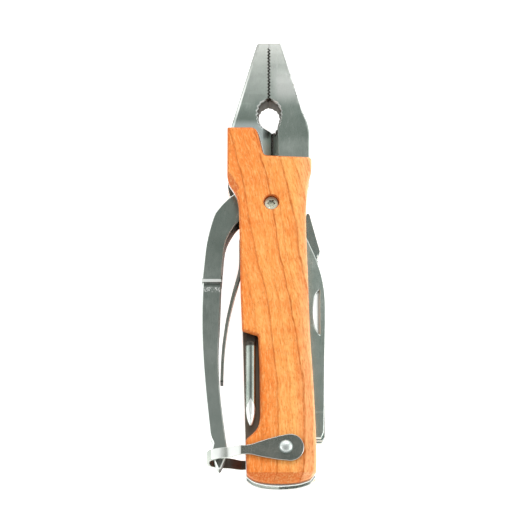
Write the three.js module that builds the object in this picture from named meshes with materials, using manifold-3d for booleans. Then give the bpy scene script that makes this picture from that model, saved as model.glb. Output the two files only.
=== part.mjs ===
// Folding fishing pliers: spring-opened combination pliers whose fixed half is the frame of a folding
// pocket tool. Everything is in millimetres. The design frame has its origin on the pliers' pivot, in the
// mid-plane of the jaws: +X to the folding blades' side, +Y to the jaw tips, +Z out of the front scale.
// At the end the whole group is moved so that its origin is the centre of the bottom of its bounding box.
import * as THREE from "three";
import { mergeVertices } from "three/addons/utils/BufferGeometryUtils.js";
import Module from "manifold-3d";

const wasm = await Module();
wasm.setup();

// ---------------------------------------------------------------- driving dimensions

const JAW_HALF = 5; // half the thickness of the forged jaws
const LINER_IN = 5.2; // inner face of each liner
const LINER_OUT = 6.2; // outer face of each liner
const SCALE_IN = 6.25; // glued face of each wooden scale
const SCALE_OUT = 10.45; // outer face of each wooden scale
const EDGE_ROUND = 1.1; // rounding of a scale's outer edges

const LAP_RADIUS = 10.4; // half-lap discs of the pliers' joint
const LAP_GAP = 0.3; // running gap round and between the two halves
const JAW_TIP_Y = 63.5;
const TAPER_FOOT_Y = 31; // where the jaws begin to thin towards their tips
const TAPER = 1.05; // how much each face has come down at the tips
const TAPER_CURVE = 2.5; // power of the curve that the faces come down by
const GRIP_SEAM_X = -0.84; // where the toothed jaw faces meet
const CUTTER_SEAM_X = 0.3; // where the cutting edges meet
const TOOTH_PITCH = 1.275;
const TOOTH_DEPTH = 0.7;
const TOOTH_COUNT = 16;
const SEAM_GAP = 0.5; // gap between the toothed edges when closed, where light can't show through
const SEAM_FLOOR = 3; // half the thickness of the middle, where the teeth mesh closely
const MESH_GAP = 0.08; // gap between the meshing teeth there
const HOLE_TOP_Y = 40.8; // pipe grip, top of the opening
const HOLE_FOOT_Y = 29.5; // pipe grip, where the wire cutter begins
const CUTTER_LAND = 0.5; // half the width left at each cutting edge
const CLOSED_GAP = 0.03; // half the gap left where the closed jaws meet

const LEVER_STEP_Y = -28.3; // where the lever becomes thinner
const LEVER_HALF = 3; // half the thickness of the thin part

const BARREL_RADIUS = 2; // pivot barrel
const SCREW_SHANK = 1.25;
const PIVOT_HEAD = 2.63;
const PIVOT_HEAD_TOP = 8.5;
const COUNTERBORE = 2.8;

const PIN_RADIUS = 1.25; // blade pin and latch rivet
const SMALL_PIN = 1; // frame pins
const HOLE_CLEARANCE = 0.1;
const BLADE_PIVOT = [12.8, -81.1];
const BLADE_HALF = 1.25; // half a blade's thickness
const LAYERS = { knife: 3.75, scaler: 0, opener: -3.75 }; // mid-height of each blade
const DIVIDER_Z = 1.95; // mid-height of each divider, above and below the middle
const DIVIDER_HALF = 0.32;
const TANG_FOOT_Y = -86.1;
const TANG_RADIUS = 7.25; // round side of each tang, which the back spring bears on

const RIVET = [5.09, -91.12]; // latch rivet
const EAR_Z = 11.2; // mid-height of the latch's ears
const STRAP = 1; // thickness of the latch's strap
const EAR_CENTRE = [6.62, -91.3];
const EAR_RADIUS = 4.85;
const BIGHT_X = -22.4; // middle of the strap where it crosses behind the lever

const DRIVER_PIVOT = [-7.3, -45];
const DRIVER_RADIUS = 1.75;
const DRIVER_Z = 8.25; // axis of the screwdriver's shaft
const DRIVER_SHAFT_Y = -51.8; // where the round shaft begins
const DRIVER_TIP_Y = -82.6;
const DRIVER_TANG = [6.45, 7.85]; // heights of its flat tang

const ROUND = 32; // sides of a round pin or hole

// ---------------------------------------------------------------- solids

/** A closed three.js geometry as a solid. */
function solid(geometry) {
  const bare = geometry.index ? geometry.toNonIndexed() : geometry;
  const only = new THREE.BufferGeometry();
  only.setAttribute("position", bare.getAttribute("position"));
  const merged = mergeVertices(only, 1e-4);
  return new wasm.Manifold(
    new wasm.Mesh({
      numProp: 3,
      vertProperties: new Float32Array(merged.attributes.position.array),
      triVerts: new Uint32Array(merged.index.array),
    }),
  );
}

/** A solid as a three.js geometry. */
function geometryOf(body) {
  const mesh = body.getMesh();
  const geometry = new THREE.BufferGeometry();
  geometry.setAttribute("position", new THREE.BufferAttribute(mesh.vertProperties, 3));
  geometry.setIndex(new THREE.BufferAttribute(mesh.triVerts, 1));
  geometry.computeVertexNormals();
  return geometry;
}

const join = (...bodies) => bodies.reduce((whole, next) => whole.add(next));
const cut = (body, ...tools) => tools.reduce((rest, tool) => rest.subtract(tool), body);

/** A flat plate of an outline, from height low to height high. */
function plate(shape, low, high, curveSegments = 6) {
  const geometry = new THREE.ExtrudeGeometry(shape, {
    depth: high - low,
    bevelEnabled: false,
    curveSegments,
  });
  return solid(geometry.translate(0, 0, low));
}

/** A plate whose edges are broken by a chamfer on both faces, inside the outline. */
function chamferedPlate(shape, low, high, chamfer, curveSegments = 6, steps = 1) {
  const geometry = new THREE.ExtrudeGeometry(shape, {
    depth: high - low - 2 * chamfer,
    bevelEnabled: true,
    bevelThickness: chamfer,
    bevelSize: chamfer,
    bevelOffset: -chamfer,
    bevelSegments: steps,
    curveSegments,
  });
  return solid(geometry.translate(0, 0, low + chamfer));
}

/** A round rod parallel to Z. */
function rod([x, y], radius, low, high, sides = ROUND) {
  const geometry = new THREE.CylinderGeometry(radius, radius, high - low, sides);
  return solid(geometry.rotateX(Math.PI / 2).translate(x, y, (low + high) / 2));
}

/** A turned piece round an axis parallel to Z: profile holds [radius, height] pairs, axis to axis. */
function turned([x, y], profile, sides = ROUND) {
  const points = profile.map(([r, z]) => new THREE.Vector2(r, z));
  return solid(new THREE.LatheGeometry(points, sides).rotateX(Math.PI / 2).translate(x, y, 0));
}

/** A box from its two corners. */
function block(low, high) {
  const size = high.map((h, i) => h - low[i]);
  const geometry = new THREE.BoxGeometry(...size);
  return solid(geometry.translate(...low.map((l, i) => l + size[i] / 2)));
}

/** A bar along the edge from a to b, each [x, y, z], that leaves a chamfer of the given size. */
function edgeBreak(a, b, size) {
  const from = new THREE.Vector3(...a);
  const along = new THREE.Vector3(...b).sub(from);
  const side = size * Math.SQRT2;
  const bar = new THREE.BoxGeometry(along.length() + 2 * size, side, side).rotateX(Math.PI / 4);
  const heading = along.clone().normalize();
  const turn = new THREE.Quaternion().setFromUnitVectors(new THREE.Vector3(1, 0, 0), heading);
  const middle = from.addScaledVector(along, 0.5);
  return solid(bar.applyQuaternion(turn).translate(...middle.toArray()));
}

/** A plate of an outline that grows about a centre from its foot to its top, for a chamfer round a hole. */
function flaredPlate(shape, [cx, cy], low, high, growth) {
  const geometry = new THREE.ExtrudeGeometry(shape, { depth: high - low, bevelEnabled: false });
  const place = geometry.getAttribute("position");
  for (let i = 0; i < place.count; i++) {
    if (place.getZ(i) > 0) {
      place.setXY(i, cx + (place.getX(i) - cx) * growth, cy + (place.getY(i) - cy) * growth);
    }
  }
  return solid(geometry.translate(0, 0, low));
}

/** A body together with its mirror image below the middle plane. */
const bothFaces = (body) => join(body, body.mirror([0, 0, 1]));

const vectors = (points) => points.map(([x, y]) => new THREE.Vector2(x, y));

/** Points along a smooth curve through the given ones. */
const smooth = (points, count) =>
  new THREE.SplineCurve(vectors(points)).getPoints(count).map((p) => [p.x, p.y]);

/** A closed outline through a list of [x, y] points. */
const outline = (points) => new THREE.Shape(vectors(points));

/** A strip of constant thickness along a line of points. */
function ribbon(points, thickness) {
  const line = vectors(points);
  const offset = (side) =>
    line.map((p, i) => {
      const before = line[Math.max(i - 1, 0)];
      const after = line[Math.min(i + 1, line.length - 1)];
      const along = after.clone().sub(before).normalize();
      return new THREE.Vector2(-along.y, along.x).multiplyScalar((side * thickness) / 2).add(p);
    });
  return new THREE.Shape([...offset(1), ...offset(-1).reverse()]);
}

/** Points of an arc, angles in degrees. */
function arc([x, y], radius, from, to, count) {
  return Array.from({ length: count + 1 }, (_, i) => {
    const a = ((from + ((to - from) * i) / count) * Math.PI) / 180;
    return [x + radius * Math.cos(a), y + radius * Math.sin(a)];
  });
}

// ---------------------------------------------------------------- materials

const material = (color, roughness, metalness) =>
  new THREE.MeshStandardMaterial({ color, roughness, metalness });

const forgedSteel = material(0x8d9a95, 0.38, 1);
const bladeSteel = material(0xa4aca9, 0.3, 1);
const sheetSteel = material(0xb4b9b7, 0.3, 1);
const springSteel = material(0x7f8684, 0.35, 1);
const fastenerSteel = material(0xb9bcb6, 0.28, 1);
const cherryWood = material(0xe58a45, 0.5, 0);

const pliers = new THREE.Group();

function add(name, body, look) {
  const mesh = new THREE.Mesh(geometryOf(body), look);
  mesh.name = name;
  pliers.add(mesh);
}

// ---------------------------------------------------------------- the two halves of the pliers

/** The toothed grip face, from the pipe grip to the tip. side is -1 on the fixed jaw, 1 on the other. */
function gripFace(side, gap) {
  const points = [];
  const firstY = HOLE_TOP_Y;
  for (let i = 0; i <= 2 * TOOTH_COUNT; i++) {
    const swing = i % 2 ? TOOTH_DEPTH / 2 : -TOOTH_DEPTH / 2;
    points.push([GRIP_SEAM_X + (side * gap) / 2 + swing, firstY + (i * TOOTH_PITCH) / 2]);
  }
  points.push([GRIP_SEAM_X + side * CLOSED_GAP, firstY + TOOTH_COUNT * TOOTH_PITCH + 0.3]);
  points.push([GRIP_SEAM_X + side * CLOSED_GAP, JAW_TIP_Y]);
  return points;
}

/** One side of the scalloped pipe grip, from its foot at the cutter up to the grip face. */
function pipeGrip(side) {
  const foot = [[CUTTER_SEAM_X + side * CLOSED_GAP, HOLE_FOOT_Y]];
  const left = [[-1.6, 29.9], [-3, 30.7], [-4, 32.3], [-4.5, 34.4], [-4.5, 36.9], [-3.4, 39.4]];
  const right = [[1.6, 30.9], [2.2, 31.2], [2.7, 32.7], [3, 34.6], [3, 36.9], [1.9, 39.4]];
  if (side > 0) foot.push([1.55, HOLE_FOOT_Y]);
  const teeth = 10;
  const top = [GRIP_SEAM_X + side * 0.45, HOLE_TOP_Y];
  const scallops = smooth([...(side < 0 ? left : right), top], 2 * teeth);
  return [...foot, ...scallops.map(([x, y], i) => [x + (i % 2 ? side * 0.45 : 0), y])];
}

/** What the chamfer round the pipe grip removes from both faces. */
const gripOpening = outline([...pipeGrip(-1), ...pipeGrip(1).reverse()]);
const gripRim = bothFaces(flaredPlate(gripOpening, [-0.8, 35.4], JAW_HALF - 1.1, JAW_HALF, 1.14));

/** The faces' slow curve from the pipe grip to the tips, as [y, height] points. */
const taperLine = Array.from({ length: 9 }, (_, i) => {
  const share = i / 8;
  return [TAPER_FOOT_Y + share * (JAW_TIP_Y - TAPER_FOOT_Y), JAW_HALF - TAPER * share ** TAPER_CURVE];
});
const PAST_TIP_Y = JAW_TIP_Y + 2;
const taperSide = new THREE.ExtrudeGeometry(
  outline([...taperLine, [PAST_TIP_Y, JAW_HALF - TAPER], [PAST_TIP_Y, 9], [TAPER_FOOT_Y, 9]]),
  { depth: 60, bevelEnabled: false },
);
const taperAxes = new THREE.Matrix4().makeBasis(
  new THREE.Vector3(0, 1, 0),
  new THREE.Vector3(0, 0, 1),
  new THREE.Vector3(1, 0, 0),
);
const jawTaper = bothFaces(solid(taperSide.applyMatrix4(taperAxes).translate(-30, 0, 0)));

/** A chamfer of the given size along a jaw's outer edge, from its tip down through the given points. */
function jawEdge(tip, below, size) {
  const [[shoulderX, shoulderY]] = below;
  const slope = (tip[0] - shoulderX) / (tip[1] - shoulderY);
  const straight = taperLine.filter(([y]) => y > shoulderY + 1);
  const tapered = straight.map(([y, height]) => [shoulderX + slope * (y - shoulderY), y, height]);
  const line = [...tapered.reverse(), ...below.map(([x, y]) => [x, y, JAW_HALF])];
  const bars = line.slice(1).map((point, i) => edgeBreak(line[i], point, size));
  return bothFaces(join(...bars));
}

const OPEN_TOP = JAW_HALF + 0.1; // just past the jaws' faces

/** Grooves that leave a cutting edge on one jaw below the pipe grip, on both faces. */
function cutterGrooves(side) {
  const foot = LAP_RADIUS + 1.2;
  const section =
    side < 0
      ? [[2, CUTTER_LAND], [0.2, CUTTER_LAND], [-0.5, 2], [-3.2, OPEN_TOP], [2, OPEN_TOP]]
      : [[-2, CUTTER_LAND], [0.4, CUTTER_LAND], [1.45, 1.9], [2.7, OPEN_TOP], [-2, OPEN_TOP]];
  const top = HOLE_FOOT_Y + 1.7;
  const front = new THREE.ExtrudeGeometry(outline(section), { depth: top - foot, bevelEnabled: false });
  front.rotateX(Math.PI / 2).translate(0, top, 0);
  return bothFaces(solid(front));
}

const lapHole = rod([0, 0], BARREL_RADIUS + HOLE_CLEARANCE, -9, 9, 48);
const lapDisc = rod([0, 0], LAP_RADIUS, -JAW_HALF, JAW_HALF, 56);
const lapRelief = (low, high) => rod([0, 0], LAP_RADIUS + LAP_GAP, low, high, 56);

// Fixed jaw: left jaw, front half of the lap joint, and the tang that the frame is pinned to.
const LEFT_TIP = [-5.2, JAW_TIP_Y];
const LEFT_SHOULDER = [-14.5, 30.6];
const fixedJawShape = (gap) =>
  outline([
    [CUTTER_SEAM_X - CLOSED_GAP, 4],
    ...pipeGrip(-1),
    ...gripFace(-1, gap),
    LEFT_TIP,
    LEFT_SHOULDER,
    [-14.6, 28],
    [-14.6, 9.9],
    [-4, 9.6],
  ]);
const tangOutline = outline([
  [5.9, -4],
  [6.6, -12],
  [6.6, -35.4],
  [6, -36],
  [-6.4, -36],
  [-7, -35.4],
  [-7, -10],
  [-5, -7],
]);
const tangPins = [
  [-1.5, -17],
  [1.5, -31],
];
let fixedJaw = join(
  plate(fixedJawShape(SEAM_GAP), -JAW_HALF, JAW_HALF),
  plate(fixedJawShape(MESH_GAP), -SEAM_FLOOR, SEAM_FLOOR),
  plate(tangOutline, -JAW_HALF, JAW_HALF),
  lapDisc,
);
fixedJaw = cut(
  fixedJaw,
  lapRelief(-9, LAP_GAP / 2),
  lapHole,
  cutterGrooves(-1),
  gripRim,
  jawTaper,
  jawEdge(LEFT_TIP, [LEFT_SHOULDER], 1),
  ...tangPins.map((at) => rod(at, SMALL_PIN + HOLE_CLEARANCE, -9, 9)),
);
add("fixed_jaw", fixedJaw, forgedSteel);

// Moving jaw: right jaw, rear half of the lap joint, and the bowed lever in one forging.
const RIGHT_TIP = [3.6, JAW_TIP_Y];
const rightSide = smooth([[11.6, 36.2], [13.1, 32.4], [13.8, 28.6], [13.9, 24]], 8);
const movingJawShape = (gap) =>
  outline([
    [CUTTER_SEAM_X + CLOSED_GAP, 4],
    ...pipeGrip(1),
    ...gripFace(1, gap),
    RIGHT_TIP,
    ...rightSide,
    [13.9, 14],
    [13.2, 9],
    [12.8, 4.66],
    [7, 2.55],
  ]);
const leverOuter = smooth(
  [[-20.2, -2.3], [-21.5, -5.9], [-23.4, -14], [-24.5, -24], [-24.9, LEVER_STEP_Y]],
  16,
);
const leverInner = smooth(
  [[-17.8, LEVER_STEP_Y], [-17.4, -22], [-16.5, -13.9], [-13.8, -8.1], [-11, -4.9], [-8, -2.9]],
  16,
);
const leverTop = [[-6, 6.6], [-9, 6.6], [-12.9, 5.1], [-15.6, 3.1], [-18, 0.6]];
const leverUpper = outline([...leverTop, ...leverOuter, ...leverInner]);

// The thin part overlaps the thick one a little. It ends in a cam for the latch, with a notch above it.
const leverLower = outline([
  ...smooth([[-24.6, LEVER_STEP_Y + 2], [-25.05, -40], [-24.7, -53.5], [-23.6, -68], [-21.9, -84]], 16),
  ...smooth([[-21.4, -85.9], [-20.6, -87.6], [-21.3, -90.3]], 4),
  [-20.2, -93.9],
  [-19.3, -96.2],
  ...smooth([[-18.8, -97], [-18.3, -97.1], [-17.8, -96.7]], 3),
  ...smooth([[-16.3, -93.2], [-15.75, -91], [-15.7, -89]], 5),
  ...smooth([[-16.7, -81.7], [-18.2, -69], [-18.85, -55], [-18.3, -42], [-17.85, LEVER_STEP_Y + 2]], 16),
]);
const leverStepEdge = bothFaces(
  edgeBreak([-26, LEVER_STEP_Y, JAW_HALF], [-16, LEVER_STEP_Y, JAW_HALF], 0.85),
);
const cutterRelief = bothFaces(block([1.4, 28.8, 0.4], [2.3, 31.8, JAW_HALF + 1]));
let movingJaw = join(
  plate(movingJawShape(SEAM_GAP), -JAW_HALF, JAW_HALF),
  plate(movingJawShape(MESH_GAP), -SEAM_FLOOR, SEAM_FLOOR),
  chamferedPlate(leverUpper, -JAW_HALF, JAW_HALF, 0.35),
  chamferedPlate(leverLower, -LEVER_HALF, LEVER_HALF, 0.45),
  lapDisc,
);
movingJaw = cut(
  movingJaw,
  lapRelief(-LAP_GAP / 2, 9),
  lapHole,
  cutterGrooves(1),
  gripRim,
  jawTaper,
  jawEdge(RIGHT_TIP, [...rightSide, [13.9, 14]], 0.5),
  cutterRelief,
  leverStepEdge,
);
add("moving_jaw", movingJaw, forgedSteel);

// ---------------------------------------------------------------- the frame: scales, liners, spacers

const handleLeft = [
  ...smooth([[-10.35, -48], [-11, -33], [-11.3, -14], [-11.75, -1]], 9),
  ...smooth([[-12.4, 2.4], [-13.6, 4.9], [-15.2, 7.4], [-15.9, 10.7]], 6),
];
const handleTop = [
  [-15.94, 28.75],
  ...smooth([[-7, 28.75], [-5.5, 28], [-4.7, 26]], 5),
  ...smooth([[-3.3, 20.1], [-2.8, 18.6], [-1.7, 18]], 4),
];
const FLARE = { front: 1.6, rear: 1.15 }; // widening of the scales and liners beside the moving jaw
const REAR_SHORT = 1.4; // how much shorter the rear scale and liner are at the butt

/** The handle's blade side, down from its top corner. */
function handleRight(isFront) {
  const flare = isFront ? FLARE.front : FLARE.rear;
  const corner = [15.75, isFront ? -99.4 : REAR_SHORT - 99.4];
  const beside = [[13 + flare, 16.5], [12.9 + flare, 12.4], [12.8 + flare / 2, 8.6]];
  const upper = [...beside, [12.7, 1.5], [12.5, -10]];
  const lower = [[13.1, -28], [13.7, -48], [15, -70], [15.8, -90], corner];
  return [[12.3 + flare, 17.3], ...smooth([...upper, ...lower], 24)];
}

const handleBottom = smooth(
  [[13.4, -101.5], [9.8, -102.7], [3.8, -103.3], [-2, -103], [-6.2, -102], [-8.7, -100.2]],
  10,
);
const raised = (points, by) => points.map(([x, y]) => [x, y + by]);
const pocket = [
  ...smooth([[-9.1, -88.9], [-8.6, -87.5], [-6.4, -85.6], [-4.6, -83.1], [-4, -79.6]], 8),
  [-4.2, -62],
  [-4.7, -50],
];
const pocketCorner = [-10.4, -48.1];

/** A scale's outline. Only the front scale has the screwdriver's pocket. */
const scaleShape = (isFront) =>
  outline([
    ...(isFront ? [...pocket, pocketCorner] : []),
    ...handleLeft.slice(isFront ? 1 : 0),
    ...handleTop,
    ...handleRight(isFront),
    ...raised(handleBottom, isFront ? 0 : REAR_SHORT),
  ]);

/** A liner's outline: it shows past its scale round the fixed jaw and at the butt. */
function linerShape(isFront) {
  const rise = isFront ? 0 : REAR_SHORT;
  const butt = smooth(
    [[13.7, -102.1], [9.8, -103.4], [3.8, -104], [-2, -103.7], [-6.3, -102.6], [-8.95, -100.6]],
    12,
  );
  return outline([
    ...handleLeft,
    [-15.94, 29.4],
    ...smooth([[-6.7, 29.4], [-5, 28.6], [-4, 26.3]], 5),
    [-2.6, 20.1],
    [-1.9, 18.3],
    ...handleRight(isFront),
    ...raised(butt, rise),
  ]);
}

/** A wooden scale from its glued face up, with its outer edges rounded and its butt sloped off. */
function scale(isFront) {
  const deep = SCALE_IN - 3;
  const rounded = chamferedPlate(scaleShape(isFront), deep, SCALE_OUT, EDGE_ROUND, 6, 2);
  const butt = new THREE.BoxGeometry(60, 10, 10).translate(0, -5, 5);
  butt.rotateX(0.82).translate(0, isFront ? -100 : REAR_SHORT - 100, SCALE_OUT);
  const thumbRamp = edgeBreak([-15.6, 8.7, SCALE_OUT], [-13.8, 5.7, SCALE_OUT], 1.9);
  return cut(rounded, block([-40, -130, -20], [40, 60, SCALE_IN]), solid(butt), thumbRamp);
}

const scaleHoles = [rod([0, 0], COUNTERBORE, 0, 20, 40), rod(RIVET, PIN_RADIUS + 0.2, 0, 20)];
// Room behind the front scale for the screwdriver's tang to turn, out to the handle's edge.
const tangRecess = join(
  rod(DRIVER_PIVOT, 3.1, 0, 9),
  block([-30, -60, 0], [DRIVER_PIVOT[0] + 2.9, DRIVER_PIVOT[1], 8.2]),
  block([-30, DRIVER_PIVOT[1] - 1, 0], [DRIVER_PIVOT[0], DRIVER_PIVOT[1] + 2.9, 8.2]),
);
add("front_scale", cut(scale(true), ...scaleHoles, tangRecess), cherryWood);
add("rear_scale", cut(scale(false), ...scaleHoles).mirror([0, 0, 1]), cherryWood);

const backSpringPins = [
  [4.3, -42],
  [4.3, -60],
];
const sideSpacerPins = [
  [-7.2, -54],
  [-7, -70],
];
const endSpacerPin = [-3.4, -96.5];
const framePins = [...tangPins, ...backSpringPins, ...sideSpacerPins, endSpacerPin];

const linerHoles = [
  ...framePins.map((at) => rod(at, SMALL_PIN + 0.05, 0, 9)),
  rod([0, 0], BARREL_RADIUS + HOLE_CLEARANCE, 0, 9, 48),
  rod(BLADE_PIVOT, PIN_RADIUS + 0.05, 0, 9),
  rod(RIVET, PIN_RADIUS + HOLE_CLEARANCE, 0, 9),
];
const linerPlate = (isFront) => chamferedPlate(linerShape(isFront), LINER_IN, LINER_OUT, 0.15);
const liner = (isFront) => cut(linerPlate(isFront), ...linerHoles);
const driverPinRadius = 0.9;
add("front_liner", cut(liner(true), rod(DRIVER_PIVOT, driverPinRadius + 0.05, 0, 9)), sheetSteel);
add("rear_liner", liner(false).mirror([0, 0, 1]), sheetSteel);

framePins.forEach((at, i) => {
  const names = ["tang_pin_upper", "tang_pin_lower", "back_spring_pin_upper", "back_spring_pin_lower",
    "side_spacer_pin_upper", "side_spacer_pin_lower", "end_spacer_pin"];
  add(names[i], rod(at, SMALL_PIN, -LINER_OUT, LINER_OUT, 20), fastenerSteel);
});

const sideSpacer = outline([[-8.9, -46.5], [-5.4, -46.5], [-4.9, -86.5], [-7.9, -86.5]]);
add(
  "side_spacer",
  cut(chamferedPlate(sideSpacer, -5.1, 5.1, 0.3), ...sideSpacerPins.map((at) => rod(at, 1.1, -9, 9))),
  sheetSteel,
);
const endSpacer = outline([
  [-8, -88.5],
  [1.5, -88.5],
  [2.7, -94.5],
  [2.7, -101.9],
  [-2, -101.6],
  [-6, -100.6],
  [-8, -98.9],
]);
add(
  "end_spacer",
  cut(chamferedPlate(endSpacer, -5.1, 5.1, 0.3), rod(endSpacerPin, 1.1, -9, 9)),
  sheetSteel,
);

// ---------------------------------------------------------------- the pliers' pivot screw

/** A six-lobed driving recess. */
function lobedRecess(depth, top) {
  const lobes = arc([0, 0], 1, 0, 360, 36)
    .slice(0, 36)
    .map(([x, y], i) => {
      const r = 1.25 + 0.22 * Math.cos((i * 6 * Math.PI * 2) / 36);
      return [x * r, y * r];
    });
  return plate(outline(lobes), top - depth, top + 1);
}

const screwProfile = [
  [0, -3],
  [SCREW_SHANK, -3],
  [SCREW_SHANK, LINER_OUT + 0.1],
  [PIVOT_HEAD, LINER_OUT + 0.1],
  [PIVOT_HEAD, PIVOT_HEAD_TOP - 0.3],
  [PIVOT_HEAD - 0.3, PIVOT_HEAD_TOP],
  [0, PIVOT_HEAD_TOP],
];
add("pivot_screw", cut(turned([0, 0], screwProfile, 40), lobedRecess(0.9, PIVOT_HEAD_TOP)), fastenerSteel);

const barrelProfile = [
  [0, -PIVOT_HEAD_TOP],
  [PIVOT_HEAD - 0.3, -PIVOT_HEAD_TOP],
  [PIVOT_HEAD, 0.3 - PIVOT_HEAD_TOP],
  [PIVOT_HEAD, -LINER_OUT - 0.1],
  [BARREL_RADIUS, -LINER_OUT - 0.1],
  [BARREL_RADIUS, LINER_OUT],
  [SCREW_SHANK + 0.08, LINER_OUT],
  [SCREW_SHANK + 0.08, -4],
  [0, -4],
];
const barrelSlot = block([-3, -0.4, -9], [3, 0.4, 0.7 - PIVOT_HEAD_TOP]);
add("pivot_barrel", cut(turned([0, 0], barrelProfile, 40), barrelSlot), fastenerSteel);

// ---------------------------------------------------------------- the lever's return spring

// A hairpin leaf: its short leg is riveted to the tang, its long leg bears on the inside of the lever.
const SPRING_LEAF = 1.1;
const SPRING_HALF = 3;
const SHORT_LEG_X = -7.65;
const springLine = [
  [SHORT_LEG_X, -27.5],
  [SHORT_LEG_X, -14.5],
  ...arc([SHORT_LEG_X - 1.7, -12.6], 1.7, 0, 180, 8),
  ...smooth([[-11.05, -14.5], [-11.05, -20], [-11.45, -24.2], [-13.6, -32.5]], 10),
  ...smooth([[-14.9, -38.2], [-16, -44], [-17.2, -54], [-17.65, -65.1]], 10),
];
function springRivet(radius, from, to) {
  const geometry = new THREE.CylinderGeometry(radius, radius, to - from, 20).rotateZ(Math.PI / 2);
  return solid(geometry.translate((from + to) / 2, -23, 0));
}
add(
  "lever_spring",
  cut(plate(ribbon(springLine, SPRING_LEAF), -SPRING_HALF, SPRING_HALF), springRivet(1, -9, -5)),
  springSteel,
);
const rivetFoot = SHORT_LEG_X - SPRING_LEAF / 2 - 0.05; // where the rivet's head bears on the leaf
add(
  "spring_rivet",
  join(springRivet(0.9, rivetFoot - 0.1, -7.03), springRivet(1.7, rivetFoot - 0.75, rivetFoot)),
  fastenerSteel,
);

// ---------------------------------------------------------------- folding blades

const nailNick = (z) => {
  const crescent = smooth([[17.3, -31.2], [15.5, -34], [14.7, -39.9], [15.5, -45.5], [17.3, -48.5]], 12);
  const slope = new THREE.BoxGeometry(20, 60, 4).translate(0, 0, 2).rotateY(0.4);
  const floor = solid(slope.translate(14.7, -40, z - 0.02));
  return plate(outline(crescent), z - 1.3, z + 1).intersect(floor);
};

/** Both faces of a blade ground down towards its edge at x = edgeX, from y low to y high. */
function grind(shoulderX, edgeX, low, high, z) {
  const reach = shoulderX - edgeX;
  const tilt = Math.atan2(BLADE_HALF - 0.15, reach);
  const wedge = new THREE.BoxGeometry(30, high - low, 5).translate(-15, 0, 2.5).rotateY(-tilt);
  const upper = solid(wedge.translate(shoulderX, (low + high) / 2, BLADE_HALF));
  return join(upper, upper.mirror([0, 0, 1])).translate([0, 0, z]);
}

/** The tang that every blade has: squared at its foot, and round on the side of the back spring. */
const tang = (spineX) => [
  [spineX - 0.9, TANG_FOOT_Y],
  ...arc(BLADE_PIVOT, TANG_RADIUS, 223.5, 134, 10),
];
const bladeHole = rod(BLADE_PIVOT, PIN_RADIUS + HOLE_CLEARANCE, -9, 9);
const layer = (z) => [z - BLADE_HALF, z + BLADE_HALF];

const knifeOutline = outline([
  ...tang(18.5),
  [8.4, -73.6],
  [7.6, -72.8],
  ...smooth([[7.6, -34], [8, -20], [9.3, -11], [11.1, -5.6]], 10),
  ...smooth([[12.7, -11.9], [15.8, -19.2], [17.6, -24.6], [18.75, -30], [19.3, -36], [19.3, -44]], 16),
  ...smooth([[18.95, -60], [18.7, -76], [18.5, -84]], 4),
]);
add(
  "knife_blade",
  cut(
    plate(knifeOutline, ...layer(LAYERS.knife)),
    grind(12.6, 7.6, -73.6, 0, LAYERS.knife),
    nailNick(LAYERS.knife + BLADE_HALF),
    bladeHole,
  ),
  bladeSteel,
);

/** Scaling teeth along a blade's spine. */
function scaleTeeth(x, top, bottom, pitch) {
  const count = Math.round((top - bottom) / pitch);
  const points = [];
  for (let i = 0; i <= count; i++) {
    const y = top - i * pitch;
    const spine = x + Math.min(1, (top - y) / 14) * 1.1;
    points.push([spine, y], [spine - 0.55, y - pitch * 0.25]);
  }
  return points.reverse();
}

const scalerOutline = outline([
  ...tang(19),
  [7.6, -74],
  [7.6, -16],
  [9.3, -8.5],
  [11.3, -1.5],
  [11.9, -1.5],
  [12.25, -4],
  [12.8, -1.5],
  [13.8, -1.5],
  [17.6, -15.8],
  [17.3, -17.1],
  [16.4, -17.6],
  ...scaleTeeth(16.9, -18.4, -62, 1.45).reverse(),
  [18.8, -64.5],
  [19, -68],
  [19, -84.9],
]);
add("fish_scaler", cut(plate(scalerOutline, ...layer(LAYERS.scaler)), bladeHole), bladeSteel);

const openerOutline = outline([
  ...tang(18.7),
  [7.6, -74],
  [7.6, -40.4],
  ...smooth([[10.2, -40.2], [13.2, -38.4], [14.6, -34.8], [14, -31], [12.2, -28.9]], 8),
  [11.2, -30.6],
  [9.2, -30.2],
  [7.6, -26.6],
  [9.6, -22],
  [10.2, -16],
  [10.2, -9.5],
  [15.2, -9.5],
  [15.2, -16],
  [17.4, -24],
  [18.7, -34],
  [18.7, -84.9],
]);
add(
  "bottle_opener",
  cut(
    plate(openerOutline, ...layer(LAYERS.opener)),
    grind(13.2, 7.6, -40, -20, LAYERS.opener).intersect(block([0, -30, -9], [9.2, -20, 9])),
    bladeHole,
  ),
  bladeSteel,
);

add("blade_pin", rod(BLADE_PIVOT, PIN_RADIUS, -LINER_OUT, LINER_OUT), fastenerSteel);

// Back springs, one to a blade, and the dividers that keep the blades apart.
const backSpring = outline([
  [5.4, -87.3],
  [3.2, -87.3],
  [2.3, -74],
  [1.8, -56],
  [1.8, -37.5],
  [6.9, -37.5],
  [6.9, -69],
  [5.4, -73.5],
]);
Object.entries(LAYERS).forEach(([blade, z]) => {
  const spring = chamferedPlate(backSpring, z - 1.2, z + 1.2, 0.2);
  add(`${blade}_back_spring`, cut(spring, ...backSpringPins.map((at) => rod(at, 1.1, -9, 9))), springSteel);
});

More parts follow.
